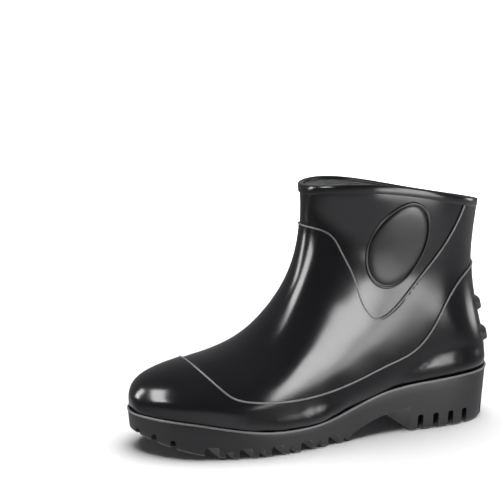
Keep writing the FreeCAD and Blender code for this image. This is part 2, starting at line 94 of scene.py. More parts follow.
# tread: first place along Y, spacing, count, width and depth of the grooves
WIDE_GROOVES = (-101.0, 24.6, 5, 10.0, 8.0)
SIDE_SLOT_WIDTH, SIDE_SLOT_DEPTH, SIDE_SLOT_REACH = 5.0, 6.0, 17.0
HEEL_SLOTS = (76.4, 13.6, 4, 4.8, 12.5)
HEEL_SLOT_REACH = 12.0
TOE_SLOT_TURNS = (-50, -29, -8, 12, 31, 51)
TOE_SLOT_DEPTH = 7.0
BACK_SLOT_TURNS = (144, 180, 216)
PAST_SIDE = 80.0  # cutters run out to here

# Fan of cross-sections from the toe, round the instep, to the top. Columns: the front and top profile's
# (Y, Z), the back and bottom profile's (Y, Z), the widest X on the outer and inner side, the height share of
# that width, and the superellipse exponents above and below it.
STATIONS = np.array(
    [
        (-146.0, 38.0, -146.0, 37.0, -8.0, -8.0, 0.45, 2.0, 2.0),
        (-140.0, 50.0, -143.0, 27.0, 9.0, -27.0, 0.43, 2.1, 3.2),
        (-127.0, 57.5, -131.0, 20.5, 25.0, -39.0, 0.41, 2.15, 4.0),
        (-107.0, 63.0, -111.0, 16.5, 38.5, -47.0, 0.38, 2.2, 4.5),
        (-82.0, 69.0, -84.0, 14.0, 47.0, -50.0, 0.36, 2.15, 4.5),
        (-56.0, 81.0, -53.0, 13.5, 50.0, -47.0, 0.34, 2.1, 4.5),
        (-36.0, 101.0, -19.0, 15.0, 47.0, -40.5, 0.33, 2.1, 4.5),
        (-22.0, 123.0, 20.0, 20.0, 41.5, -36.0, 0.34, 2.1, 4.2),
        (-14.5, 143.0, 62.0, 27.0, 38.0, -35.0, 0.36, 2.1, 3.6),
        (-11.5, 158.0, 104.0, 31.0, 37.0, -35.5, 0.40, 2.15, 3.0),
        (-10.8, 168.0, 143.5, 41.0, 37.0, -36.0, 0.44, 2.2, 2.5),
        (-10.4, 176.0, 144.3, 68.0, 37.0, -36.5, 0.47, 2.2, 2.25),
        (-10.0, 183.0, 135.8, 102.0, 39.0, -38.5, 0.50, 2.2, 2.2),
        (-9.6, 189.0, 132.2, 137.0, 43.5, -43.0, 0.50, 2.2, 2.2),
        (-9.2, 194.0, 134.8, 172.0, 48.0, -48.0, 0.50, 2.2, 2.2),
        (-8.5, 206.0, 138.0, 212.0, 51.5, -51.5, 0.50, 2.2, 2.2),
    ]
)
# Lines of the side view, (Y, Z)
COLLAR_LINE = [
    (-40, 164), (-9, 164), (2, 160), (10, 146), (17, 130), (21.5, 114), (27, 101), (36, 93.5), (45, 96),
    (57, 106), (70.5, 121.5), (84, 138), (97, 156.5), (107, 175), (113, 190), (118, 205),
]
GALOSH_LINE = [
    (-116, 90), (-105, 65), (-96, 55), (-86, 46.5), (-73, 43), (-50, 41.3), (-26, 41.3), (-2, 43.7),
    (22, 49.3), (48, 57.5), (67, 64.5), (79, 74.5), (89, 89), (100, 106.5), (113, 119.5), (128, 126.5),
    (150, 129), (175, 129),
]
RAND_LINE = [
    (-165, 29.5), (-134, 29), (-111, 26.8), (-83, 21.8), (-58, 18.4), (-32, 17.6), (-13, 18.8), (12, 25),
    (39, 33), (58, 36.6), (81, 38.8), (114, 40.5), (165, 41),
]
FLOOR_LINE = [
    (-165, 27), (-143, 27), (-131, 20.5), (-111, 16.5), (-84, 14), (-53, 13.5), (-19, 15), (20, 20),
    (62, 27), (104, 31), (135, 35), (165, 38),
]
ARCH_LINE = [(12, 0), (15, 5.5), (29, 11.5), (48, 17), (66, 20)]
# Plan of the outsole at the ledge, (X, Y)
SOLE_OUTLINE = [
    (-8, -150), (14, -142), (34, -122), (47, -92), (53, -60), (51, -28), (44, 8), (38.5, 48), (39, 88),
    (36, 118), (24, 140), (0, 150), (-23, 140), (-35.5, 118), (-37.5, 88), (-34, 48), (-33, 8), (-41, -28),
    (-49.5, -60), (-52, -92), (-45, -122), (-29, -142),
]


# ------------------------------------------------------------------ curves
def spline(knots, values, flat_start=()):
    """Natural cubic spline through rows of values. Columns in flat_start start with no slope."""
    knots = np.asarray(knots, float)
    values = np.asarray(values, float)
    values = values.reshape(len(knots), -1)
    count, width = values.shape
    h = np.diff(knots)
    slope = np.diff(values, axis=0) / h[:, None]
    bend = np.zeros((count, width))
    for column in range(width):
        system = np.eye(count)
        right = np.zeros(count)
        for k in range(1, count - 1):
            system[k, k - 1 : k + 2] = h[k - 1], 2 * (h[k - 1] + h[k]), h[k]
            right[k] = 6 * (slope[k, column] - slope[k - 1, column])
        if column in flat_start:
            system[0, :2] = 2 * h[0], h[0]
            right[0] = 6 * slope[0, column]
        bend[:, column] = np.linalg.solve(system, right)

    def at(t):
        t = np.asarray(t, float)
        k = np.clip(np.searchsorted(knots, t) - 1, 0, count - 2)
        a = ((knots[k + 1] - t) / h[k])[..., None]
        b = 1 - a
        curve = ((a**3 - a) * bend[k] + (b**3 - b) * bend[k + 1]) * ((h[k] ** 2)[..., None] / 6)
        return a * values[k] + b * values[k + 1] + curve

    return at


def resample(points, step, closed=False):
    """Points evenly spaced along a polyline."""
    points = np.asarray(points, float)
    if closed:
        points = np.vstack([points, points[:1]])
    run = np.concatenate([[0], np.cumsum(np.linalg.norm(np.diff(points, axis=0), axis=1))])
    count = max(int(round(run[-1] / step)), 3)
    at = np.linspace(0, run[-1], count + 1)
    if closed:
        at = at[:-1]
    return np.column_stack([np.interp(at, run, points[:, k]) for k in range(points.shape[1])])


def smooth_line(points, step=0.5):
    """A side-view line through its points, as closely spaced points."""
    points = np.asarray(points, float)
    run = np.concatenate([[0], np.cumsum(np.linalg.norm(np.diff(points, axis=0), axis=1))])
    return resample(spline(run, points)(np.linspace(0, run[-1], 2000)), step)


def smooth_loop(points, count):
    """A closed smooth curve through points, as count points spaced evenly between them."""
    points = np.asarray(points, float)
    wrapped = np.vstack([points[-4:], points, points[:5]])
    at = np.arange(len(wrapped))
    return spline(at, wrapped)(4 + np.arange(count) * len(points) / count)


def line_height(line):
    """The line's Z as a function of Y, for a line that never turns back."""
    dense = smooth_line(line)
    return lambda y: np.interp(y, dense[:, 0], dense[:, 1])


def above_line(y, z, line):
    """Signed distance of side-view points from a line: positive on its upper side."""
    dense = smooth_line(line, 1.0)
    ahead = np.diff(dense, axis=0)
    ahead = np.vstack([ahead, ahead[-1:]])
    flat_y, flat_z = np.ravel(y), np.ravel(z)
    result = np.empty(len(flat_y))
    for start in range(0, len(flat_y), 4000):
        part = slice(start, start + 4000)
        dy = flat_y[part, None] - dense[None, :, 0]
        dz = flat_z[part, None] - dense[None, :, 1]
        near = np.argmin(dy**2 + dz**2, axis=1)
        rows = np.arange(len(near))
        a = ahead[near] / np.linalg.norm(ahead[near], axis=1)[:, None]
        result[part] = a[:, 0] * dz[rows, near] - a[:, 1] * dy[rows, near]
    return result.reshape(np.shape(y))


rand_height = line_height(RAND_LINE)
floor_height = line_height(FLOOR_LINE)


def rim_height(y, drop=0.0, x=0.0):
    """Height of the top edge: falling towards the calf, bowed up, and higher on the outer side."""
    along = (y + RIM_OVERHANG) / RIM_LENGTH
    fall = (RIM_FRONT - RIM_BACK) * (1 - np.cos(math.pi * along)) / 2
    return RIM_FRONT - fall + 4 * RIM_CROWN * along * (1 - along) + RIM_LEAN * x - drop


# ------------------------------------------------------------------ the boot's outer form
chord = np.linalg.norm(np.diff(STATIONS[:, [0, 1]], axis=0), axis=1)
chord += np.linalg.norm(np.diff(STATIONS[:, [2, 3]], axis=0), axis=1)
chord += np.linalg.norm(np.diff(STATIONS[:, [0, 1, 4]], axis=0), axis=1)
STATION_AT = np.concatenate([[0], np.cumsum(chord)])
TOTAL = STATION_AT[-1]
station = spline(STATION_AT, STATIONS, flat_start=(0, 2))


def form_point(t, theta):
    """Point of the shell's outer face: t from the toe tip to the top, theta round from the bottom centre."""
    s = station(t)
    top_y, top_z, low_y, low_z, lateral, medial, belly, crown, corner = np.moveaxis(s, -1, 0)
    lower = np.cos(theta) >= 0
    power = 2 / np.where(lower, corner, crown)
    out = np.abs(np.sin(theta)) ** power
    reach = np.abs(np.cos(theta)) ** power
    share = np.where(lower, belly * (1 - reach), belly + (1 - belly) * reach)
    x = (lateral + medial) / 2 + np.sign(np.sin(theta)) * (lateral - medial) / 2 * out
    return np.stack([x, low_y + (top_y - low_y) * share, low_z + (top_z - low_z) * share], -1)


ROWS, COLUMNS = 300, 200
TIP_ROWS, TIP_SHARE = 25, 0.06  # the rows crowd together over the tip of the toe
tip_rows = np.linspace(0, 1, TIP_ROWS + 1)[:-1] ** 1.6 * TIP_SHARE
row_at = TOTAL * np.concatenate([tip_rows, np.linspace(TIP_SHARE, 1, ROWS - TIP_ROWS)])
column_at = np.linspace(0, 2 * math.pi, COLUMNS, endpoint=False)
# the bottom's exponents leave few columns on its flat, so the columns crowd towards the lower corners
column_at = column_at + 0.12 * np.sin(4 * column_at)
GRID_T, GRID_A = np.meshgrid(row_at, column_at, indexing="ij")
FORM = form_point(GRID_T, GRID_A)


def grid_normals(points):
    """Outward normals of the form's grid; the tip of the toe faces forwards."""
    along = np.gradient(points, axis=0)
    around = np.roll(points, -1, axis=1) - np.roll(points, 1, axis=1)
    normal = np.cross(along, around)
    length = np.linalg.norm(normal, axis=2, keepdims=True)
    normal = normal / np.maximum(length, 1e-9)
    normal[0] = (0, -1, 0)
    return normal


NORMAL = grid_normals(FORM)


def on_form(y, z, side, offset=0.0):
    """Points of the form at side-view places, on the outer (+1) or inner (-1) side, raised along the normal.

    Also returns each point's share of the height of its cross-section.
    """
    y, z = np.asarray(y, float), np.asarray(z, float)
    t = np.linspace(STATION_AT[1] * 0.3, TOTAL, 900)
    s = station(t)
    low, rise = s[:, 2:4], s[:, 0:2] - s[:, 2:4]
    dy, dz = y[..., None] - low[:, 0], z[..., None] - low[:, 1]
    beside = rise[:, 0] * dz - rise[:, 1] * dy
    crossing = np.argmax(np.diff(np.sign(beside), axis=-1) != 0, axis=-1)
    here = np.take_along_axis(beside, crossing[..., None], -1)[..., 0]
    after = np.take_along_axis(beside, crossing[..., None] + 1, -1)[..., 0]
    found = np.interp(crossing + here / (here - after), np.arange(len(t)), t)
    s = station(found)
    rise = s[..., 0:2] - s[..., 2:4]
    share = ((y - s[..., 2]) * rise[..., 0] + (z - s[..., 3]) * rise[..., 1]) / (rise**2).sum(-1)
    belly = s[..., 6]
    lower = share < belly
    r = np.where(lower, (belly - share) / belly, (share - belly) / (1 - belly))
    power = np.where(lower, s[..., 8], s[..., 7])
    angle = np.arccos(np.clip(r, 0, 1) ** (power / 2))
    theta = np.where(lower, angle, math.pi - angle)
    theta = np.where(side > 0, theta, 2 * math.pi - theta)
    point = form_point(found, theta)
    step = 0.4
    along = form_point(found + step, theta) - form_point(found - step, theta)
    around = form_point(found, theta + 0.01) - form_point(found, theta - 0.01)
    normal = np.cross(along, around)
    normal /= np.linalg.norm(normal, axis=-1, keepdims=True)
    return point + normal * np.asarray(offset)[..., None], share


# ------------------------------------------------------------------ mesh helpers
def new_object(name, points, faces):
    """A mesh object from points in millimetres."""
    mesh = bpy.data.meshes.new(name)
    mesh.from_pydata([tuple(p) for p in np.asarray(points) * MM], [], faces)
    mesh.validate()
    made = bpy.data.objects.new(name, mesh)
    scene.collection.objects.link(made)
    return made


def add_piece(name, points, faces, node, material, smooth_angle=None):
    """A mesh piece in place of a CAD node, riding on the boot."""
    return finish_piece(new_object(name, points, faces), node, material, smooth_angle)


def finish_piece(piece, node, material, smooth_angle=None):
    """Shading, material and the piece's place in the frame."""
    tidy_normals(piece.data)
    piece.data.polygons.foreach_set("use_smooth", [True] * len(piece.data.polygons))
    if smooth_angle:
        piece.data.set_sharp_from_angle(angle=math.radians(smooth_angle))
    piece.data.materials.clear()
    piece.data.materials.append(material)
    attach(piece, "root")
    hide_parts(node)
    return piece


def tidy_normals(mesh):
    """Joins points that coincide and turns every face outwards."""
    work = bmesh.new()
    work.from_mesh(mesh)
    bmesh.ops.remove_doubles(work, verts=work.verts, dist=0.00001)
    bmesh.ops.recalc_face_normals(work, faces=work.faces)
    work.to_mesh(mesh)
    work.free()


def apply_modifiers(piece):
    """The piece keeps its evaluated shape and loses its modifiers."""
    graph = bpy.context.evaluated_depsgraph_get()
    mesh = bpy.data.meshes.new_from_object(piece.evaluated_get(graph))
    piece.modifiers.clear()
    piece.data = mesh


def cut_sheet(points, keep):
    """Quads of a closed-round grid where keep is positive, cut along its zero line: points and faces."""
    rows, columns = keep.shape
    out, faces, made = [], [], {}

    def corner(i, j):
        key = (i, j)
        if key not in made:
            made[key] = len(out)
            out.append(points[i, j])
        return made[key]

    def crossing(a, b):
        key = (min(a, b), max(a, b))
        if key not in made:
            made[key] = len(out)
            share = keep[a] / (keep[a] - keep[b])
            out.append(points[a] + (points[b] - points[a]) * share)
        return made[key]

    inside = keep > 0
    for i in range(rows - 1):
        for j in range(columns):
            ring = [(i, j), (i + 1, j), (i + 1, (j + 1) % columns), (i, (j + 1) % columns)]
            state = [inside[c] for c in ring]
            if not any(state):
                continue
            face = []
            for k in range(4):
                a, b = ring[k], ring[(k + 1) % 4]
                if state[k]:
                    face.append(corner(*a))
                if state[k] != state[(k + 1) % 4]:
                    face.append(crossing(a, b))
            if len(face) > 2:
                faces.append(face)
    return np.array(out), faces


def tube(path, radius, sides=12, closed=False):
    """Round cord along a path. Returns points and faces."""
    path = np.asarray(path, float)
    if closed:
        ahead = np.roll(path, -1, 0) - np.roll(path, 1, 0)
    else:
        ahead = np.gradient(path, axis=0)
    ahead /= np.linalg.norm(ahead, axis=1)[:, None]
    up = np.zeros_like(path)
    current = np.cross(ahead[0], (0.3, 0.2, 1.0))
    for k in range(len(path)):
        current = current - ahead[k] * np.dot(current, ahead[k])
        current /= np.linalg.norm(current)
        up[k] = current
    side = np.cross(ahead, up)
    angle = np.linspace(0, 2 * math.pi, sides, endpoint=False)
    ring = np.cos(angle)[None, :, None] * up[:, None] + np.sin(angle)[None, :, None] * side[:, None]
    points = path[:, None] + radius * ring
    faces = []
    last = len(path) if closed else len(path) - 1
    for i in range(last):
        n = (i + 1) % len(path)
        for j in range(sides):
            m = (j + 1) % sides
            faces.append([i * sides + j, n * sides + j, n * sides + m, i * sides + m])
    if not closed:
        faces.append(list(range(sides)))
        faces.append([(len(path) - 1) * sides + j for j in range(sides)])
    return points.reshape(-1, 3), faces


def grid_faces(rows, columns, close_rows=False, close_columns=False):
    """Quads of a grid of rows * columns points."""
    faces = []
    for i in range(rows if close_rows else rows - 1):
        for j in range(columns if close_columns else columns - 1):
            n, m = (i + 1) % rows, (j + 1) % columns
            faces.append([i * columns + j, n * columns + j, n * columns + m, i * columns + m])
    return faces


# ------------------------------------------------------------------ materials
def map_range(tree, value, span, result):
    """A value carried from one span to another and held at the ends."""
    node = tree.nodes.new("ShaderNodeMapRange")
    for key, number in zip(("From Min", "From Max", "To Min", "To Max"), (*span, *result)):
        node.inputs[key].default_value = number
    tree.links.new(value, node.inputs["Value"])
    return node.outputs["Result"]


class Nodes:
    """Short way to write a material's node tree."""

    def __init__(self, name):
        self.material = bpy.data.materials.new(name)
        self.material.use_nodes = True
        self.tree = self.material.node_tree
        self.shader = self.tree.nodes["Principled BSDF"]
        self.position = self.tree.nodes.new("ShaderNodeTexCoord").outputs["Object"]

    def set(self, **values):
        for key, value in values.items():
            self.shader.inputs[key.replace("_", " ")].default_value = value

    def add(self, kind, **settings):
        node = self.tree.nodes.new(kind)
        for key, value in settings.items():
            if key in node.inputs:
                node.inputs[key].default_value = value
            else:
                setattr(node, key, value)
        return node

    def link(self, a, b):
        self.tree.links.new(a, b)

    def noise(self, scale, detail=2.0, roughness=0.5):
        node = self.add("ShaderNodeTexNoise", Scale=scale, Detail=detail, Roughness=roughness)
        self.link(self.position, node.inputs["Vector"])
        return node.outputs["Fac"]

    def remap(self, value, low, high, start=0.3, end=0.7):
        """Low where the value is at start, high where it is at end; a noise mostly stays from 0.3 to 0.7."""
        return map_range(self.tree, value, (start, end), (low, high))

    def blend(self, factor, a, b):
        """A colour between two colours. The sockets are numbered, since the node has three of each name."""
        node = self.add("ShaderNodeMix", data_type="RGBA")
        node.inputs[6].default_value = (*a, 1)
        node.inputs[7].default_value = (*b, 1)
        self.link(factor, node.inputs[0])
        return node.outputs[2]

    def bump(self, height, distance, strength=1.0, below=None):
        node = self.add("ShaderNodeBump", Strength=strength, Distance=distance)
        self.link(height, node.inputs["Height"])
        if below is not None:
            self.link(below, node.inputs["Normal"])
        return node.outputs["Normal"]


def rubber(name, dark, light, gloss_low, gloss_high, waviness, grain, shine=0.32):
    """Moulded or lacquered rubber: slightly uneven gloss, slow waves from the mould and a fine grain."""
    n = Nodes(name)
    n.link(n.blend(n.noise(60.0, 3.0), dark, light), n.shader.inputs["Base Color"])
    n.link(n.remap(n.noise(35.0, 4.0, 0.6), gloss_low, gloss_high), n.shader.inputs["Roughness"])
    waves = n.bump(n.noise(22.0, 1.0), waviness)
    n.link(n.bump(n.noise(1500.0, 2.0), grain, below=waves), n.shader.inputs["Normal"])
    n.set(Specular_IOR_Level=shine, IOR=1.5)
    return n.material


def knit(name, dark, light):
    """Knitted or felted cloth: fine ribs crossed by courses, with lint."""
    n = Nodes(name)
    ribs = n.add("ShaderNodeTexWave", Scale=210.0, Distortion=1.5, Detail=1.0, bands_direction="Y")
    courses = n.add("ShaderNodeTexWave", Scale=170.0, Distortion=1.5, Detail=1.0, bands_direction="Z")
    n.link(n.position, ribs.inputs["Vector"])
    n.link(n.position, courses.inputs["Vector"])
    weave = n.add("ShaderNodeMath", operation="MULTIPLY")
    n.link(ribs.outputs["Fac"], weave.inputs[0])
    n.link(courses.outputs["Fac"], weave.inputs[1])
    n.link(n.blend(n.remap(n.noise(90.0, 4.0), 0.0, 1.0), dark, light), n.shader.inputs["Base Color"])
    fuzz = n.bump(n.noise(900.0, 4.0), 0.0002)
    n.link(n.bump(weave.outputs[0], 0.0004, below=fuzz), n.shader.inputs["Normal"])
    n.set(Roughness=0.9, Sheen_Weight=0.25, Sheen_Roughness=0.5)
    return n.material


def board(name):
    """Fibre board."""
    n = Nodes(name)
    fibres = n.blend(n.noise(260.0, 5.0, 0.7), (0.36, 0.28, 0.19), (0.46, 0.37, 0.26))
    n.link(fibres, n.shader.inputs["Base Color"])
    n.link(n.bump(n.noise(700.0, 4.0), 0.0002), n.shader.inputs["Normal"])
    n.set(Roughness=0.85)
    return n.material


# dark and light colour, least and greatest roughness, height of the waves and of the grain in metres
GLOSS = rubber(
    "gloss_black_rubber", (0.0042, 0.0039, 0.0052), (0.0066, 0.0063, 0.0080), 0.15, 0.21, 0.0008, 0.00001
)
SATIN = rubber(
    "satin_sole_rubber", (0.0095, 0.0092, 0.0108), (0.0145, 0.0141, 0.0162), 0.42, 0.52, 0.0003, 0.00003
)
# the beads' light grey base colour is a painted highlight: it stands for the light that the black rubber beads
# catch along their round tops
BEAD_HIGHLIGHT = rubber("bead_rubber_painted_highlight", (0.15, 0.148, 0.15), (0.22, 0.218, 0.22), 0.35, 0.45, 0.0001, 0.00003)
BADGE = rubber(
    "badge_rubber", (0.0050, 0.0050, 0.0058), (0.0075, 0.0075, 0.0084), 0.32, 0.40, 0.0003, 0.00001
)
CORE = rubber("core_rubber", (0.10, 0.095, 0.085), (0.14, 0.13, 0.12), 0.60, 0.75, 0.0004, 0.00005)
LINING = knit("knitted_lining", (0.085, 0.090, 0.087), (0.145, 0.152, 0.147))
FOOTBED = knit("felted_footbed", (0.026, 0.027, 0.028), (0.048, 0.049, 0.050))
BOARD = board("fibre_board")


# ------------------------------------------------------------------ the sole's outline
OUTLINE_COUNT = 440
outline = smooth_loop(SOLE_OUTLINE, OUTLINE_COUNT)
outline_ahead = np.roll(outline, -1, 0) - np.roll(outline, 1, 0)
outline_ahead /= np.linalg.norm(outline_ahead, axis=1)[:, None]
outline_out = np.column_stack([outline_ahead[:, 1], -outline_ahead[:, 0]])


def sole_ring(height, grow):
    """The sole's outline at a height for each of its points, grown outwards from the tapered wall."""
    lean = -SOLE_TAPER + (SOLE_TAPER + SOLE_FLARE) * height / RAND_TOP
    flat = outline + outline_out * (lean + grow)[:, None]
    return np.column_stack([flat, height])


# ------------------------------------------------------------------ the upper's rubber panels
def under_rim(drop):
    """How far each point of the form lies below the top edge less a drop."""
    return rim_height(FORM[..., 1], drop, FORM[..., 0]) - FORM[..., 2]


def flare(points):
    """How far the upper spreads or draws in near its foot, so that it stands inside the lip of the rand."""
    height = points[..., 2] - rand_height(points[..., 1])
    near = (height > -FLARE_DEPTH) & (height < FLARE_TOP)
    spot, height = points[near], height[near]
    lean = SOLE_FLARE - SOLE_TAPER * (1 - spot[:, 2] / RAND_TOP)
    gap = np.hypot(spot[:, None, 0] - outline[None, :, 0], spot[:, None, 1] - outline[None, :, 1])
    closest = np.argmin(gap, axis=1)
    inward = ((outline[closest] - spot[:, :2]) * outline_out[closest]).sum(axis=1) + lean
    at_lip = np.abs(height) < LIP_BAND
    order = np.argsort(closest[at_lip], kind="stable")
    around = np.arange(-LIP_SMOOTHING, OUTLINE_COUNT + LIP_SMOOTHING)
    width = np.interp(around, closest[at_lip][order], inward[at_lip][order], period=OUTLINE_COUNT)
    spread = 2 * LIP_SMOOTHING + 1
    width = np.convolve(width, np.ones(spread) / spread, "valid")
    excess = (width - np.clip(width, *RAND_LIP))[closest]
    fade_over = 12.0 + 2.2 * np.abs(excess)
    share = np.clip(np.maximum(height, 0) / fade_over, 0, 1)
    moved = np.zeros_like(points)
    moved[near, :2] = outline_out[closest] * (excess * (1 - share) ** 2 * (1 + 2 * share))[:, None]
    return moved


SPREAD = flare(FORM + NORMAL * 2 * OVERLAY)


def panel(name, offset, thickness, keep, material):
    """A rubber sheet on the form, cut to where keep is positive and thickened inwards."""
    points, faces = cut_sheet(FORM + NORMAL * offset + SPREAD, keep)
    piece = add_piece(name, points, faces, name, material)
    solid = piece.modifiers.new("thickness", "SOLIDIFY")
    solid.thickness = thickness * MM
    solid.offset = -1
    apply_modifiers(piece)
    piece.data.set_sharp_from_angle(angle=math.radians(50))


below_collar = -above_line(FORM[..., 1], FORM[..., 2], COLLAR_LINE)
below_galosh = -above_line(FORM[..., 1], FORM[..., 2], GALOSH_LINE)
# neither panel reaches far under the foot, where the outsole covers it
above_floor = FORM[..., 2] - floor_height(FORM[..., 1]) - 1.0
at_floor = np.where(np.cos(GRID_A) > 0, above_floor, 1.0)
at_floor = np.where(GRID_T > STATION_AT[11], 1.0, at_floor)

leg_keep = np.minimum(np.minimum(below_collar, under_rim(BINDING_DEPTH - 0.5)), at_floor)
galosh_keep = np.minimum(below_galosh, at_floor)
sheet = OVERLAY - SHEET_GAP
panel("upper_shell", 0.0, SHELL_GAUGE, under_rim(SHEET_DROP), GLOSS)
panel("leg_panel", OVERLAY, sheet, leg_keep, GLOSS)
panel("galosh", 2 * OVERLAY, sheet, galosh_keep, GLOSS)
panel("lining_sock", LINING_GAUGE - WALL, LINING_GAUGE, under_rim(SHEET_DROP), LINING)


# ------------------------------------------------------------------ cords along the panel edges
def shift_line(line, distance):
    """A side-view line moved sideways: up where it runs towards the heel."""
    dense = smooth_line(line, 3.0)
    ahead = np.gradient(dense, axis=0)
    ahead /= np.linalg.norm(ahead, axis=1)[:, None]
    return dense + distance * np.column_stack([-ahead[:, 1], ahead[:, 0]])


def loop_on_form(line, offset, drop=None):
    """A side-view line carried onto both sides of the form, and ended a drop under the rim if one is given."""
    dense = smooth_line(line, 0.12)
    halves = []
    for side in (1, -1):
        points, share = on_form(dense[:, 0], dense[:, 1], side, np.full(len(dense), offset))
        good = (share > 0.0005) & (share < 0.9995)
        if drop is not None:
            good &= dense[:, 1] < rim_height(dense[:, 0], drop, points[:, 0])
        halves.append(points[good])
    return halves


def edge_cord(name, line, offset, drop=None):
    """A raised bead along a sheet's edge: an open cord that ends under the binding, or a closed loop."""
    lateral, medial = loop_on_form(shift_line(line, CORD_SHIFT), offset + PIPING_RADIUS, drop)
    path = np.vstack([lateral[::-1], medial])
    path = resample(path, CORD_STEP, closed=drop is None)
    for _ in range(3):
        inner = (np.roll(path, 1, 0) + 2 * path + np.roll(path, -1, 0)) / 4
        if drop is not None:
            inner[0], inner[-1] = path[0], path[-1]
        path = inner
    points, faces = tube(path, PIPING_RADIUS, closed=drop is None)
    # the cord's light grey colour is a painted highlight
    add_piece(name, points, faces, name, BEAD_HIGHLIGHT)


edge_cord("collar_piping", COLLAR_LINE, CORD_LIFT, BINDING_DEPTH)
edge_cord("galosh_piping", GALOSH_LINE, OVERLAY + CORD_LIFT)


# ------------------------------------------------------------------ top binding
def binding():
    """Band folded over the cut top edge: a rounded U swept round the rim.

    The profile lists (offset from the form, depth under the rim), from the outer lap to the inner.
    """
    outer, inner, low = BINDING_GAUGE, -WALL - 0.6, BINDING_DEPTH
    profile = [
        (0.2, low), (outer - 0.35, low), (outer - 0.08, low - 0.15), (outer, low - 0.5), (outer, low / 2),
        (outer, 1.4), (outer - 0.15, 0.7), (outer - 0.6, 0.2), (outer - 1.4, 0.0),
        ((outer + inner) / 2, 0.0), (inner + 1.4, 0.05), (inner + 0.5, 0.35), (inner + 0.1, 0.9),
        (inner, 1.5), (inner + 0.15, 1.9), (inner + 0.8, 2.2),
    ]
    columns = np.linspace(0, 2 * math.pi, 240, endpoint=False)
    t = np.linspace(STATION_AT[11], TOTAL, 400)
    rows = []
    for offset, drop in profile:
        ring = []
        for theta in columns:
            line = form_point(t, np.full(len(t), theta))
            gap = line[:, 2] - rim_height(line[:, 1], drop, line[:, 0])
            found = np.interp(0.0, gap, t)
            step = np.array([found - 0.5, found, found + 0.5, found, found])
            turn = theta + np.array([0, 0, 0, -0.01, 0.01])
            near = form_point(step, turn)
            normal = np.cross(near[2] - near[0], near[4] - near[3])
            flat = normal * (1, 1, 0)
            ring.append(near[1] + flat / np.linalg.norm(flat) * offset)
        rows.append(ring)
    points = np.array(rows).reshape(-1, 3)
    faces = grid_faces(len(profile), len(columns), close_rows=True, close_columns=True)
    add_piece("top_binding", points, faces, "top_binding", GLOSS, 50)


binding()


# ------------------------------------------------------------------ oval badge
def badge_point(rho, phi, offset):
    """Places in the badge's own polar frame, carried onto the outer side of the form."""
    lean = math.radians(BADGE_TILT)
    long_way, short_way = BADGE_LONG * rho * np.cos(phi), BADGE_SHORT * rho * np.sin(phi)
    y = BADGE_Y + long_way * math.sin(lean) + short_way * math.cos(lean)
    z = BADGE_Z + long_way * math.cos(lean) - short_way * math.sin(lean)
    return on_form(y, z, 1, offset)[0]


def badge_part(name, profile, capped, material):
    """A piece of the badge from its section: (share of the oval's radius, height over the form)."""
    phi = np.linspace(0, 2 * math.pi, 144, endpoint=False)
    rho = np.array([p[0] for p in profile])[:, None] + 0 * phi[None]
    height = np.array([p[1] for p in profile])[:, None] + 0 * phi[None]
    points = badge_point(rho, phi[None] + 0 * rho, height).reshape(-1, 3)
    faces = grid_faces(len(profile), len(phi), close_rows=not capped, close_columns=True)
    if capped:
        faces.append(list(range(len(phi))))
    add_piece(name, points, faces, name, material, 60)


ring_middle, ring_half = 0.965, 0.035
ring_section = [
    (ring_middle + ring_half * math.cos(a), 0.05 + 1.3 * max(math.sin(a), 0.0) ** 0.8)
    for a in np.linspace(0, math.pi, 11)
]
badge_part("badge_rim", ring_section, False, BADGE)
dome = [
    (0.02, 2.0), (0.2, 1.98), (0.4, 1.9), (0.6, 1.76), (0.72, 1.6), (0.80, 1.4), (0.85, 1.1), (0.885, 0.75),
    (0.905, 0.35), (0.915, 0.05),
]
badge_part("badge_plate", dome, True, BADGE)


# ------------------------------------------------------------------ kick spurs
def kick_spur(name, low, high, half_low, half_high):
    """A lug across the heel's back, wider at its top edge, with rounded edges."""
    across, up = 61, 21
    u = np.linspace(-1, 1, across)
    v = np.linspace(0, 1, up)
    U, V = np.meshgrid(u, v, indexing="ij")
    half = half_low + (half_high - half_low) * V
    x = U * half
    z = low + (high - low) * V
    edge = np.minimum(half * (1 - np.abs(U)), np.minimum(z - low, high - z))
    height = SPUR_REACH * np.clip(1 - (1 - np.clip(edge / SPUR_ROUND, 0, 1)) ** 2.5, 0, 1)
    back = heel_back(x, z)
    points = back + heel_normal(x, z) * (2 * OVERLAY - 0.2 + height)[..., None]
    add_piece(name, points.reshape(-1, 3), grid_faces(across, up), name, GLOSS, 70)


def heel_back(x, z):
    """Points of the form's back at a width and a height."""
    t = np.linspace(STATION_AT[10], STATION_AT[14], 60)
    theta = np.linspace(-1.35, 1.35, 160)
    T, A = np.meshgrid(t, theta, indexing="ij")
    P = form_point(T, np.mod(A, 2 * math.pi))
    result = np.empty(x.shape + (3,))
    for index in np.ndindex(x.shape):
        heights = np.array([np.interp(x[index], P[i, :, 0], P[i, :, 2]) for i in range(len(t))])
        depths = np.array([np.interp(x[index], P[i, :, 0], P[i, :, 1]) for i in range(len(t))])
        result[index] = x[index], np.interp(z[index], heights, depths), z[index]
    return result


def heel_normal(x, z):
    """Outward normals at those points."""
    step = 1.0
    across = heel_back(x + step, z) - heel_back(x - step, z)
    upward = heel_back(x, z + step) - heel_back(x, z - step)
    normal = np.cross(upward, across)
    normal /= np.linalg.norm(normal, axis=-1, keepdims=True)
    return normal * np.sign(normal[..., 1:2])


kick_spur("kick_spur_upper", 87.0, 96.5, 17.0, 23.0)
kick_spur("kick_spur_lower", 62.0, 71.5, 19.0, 25.0)


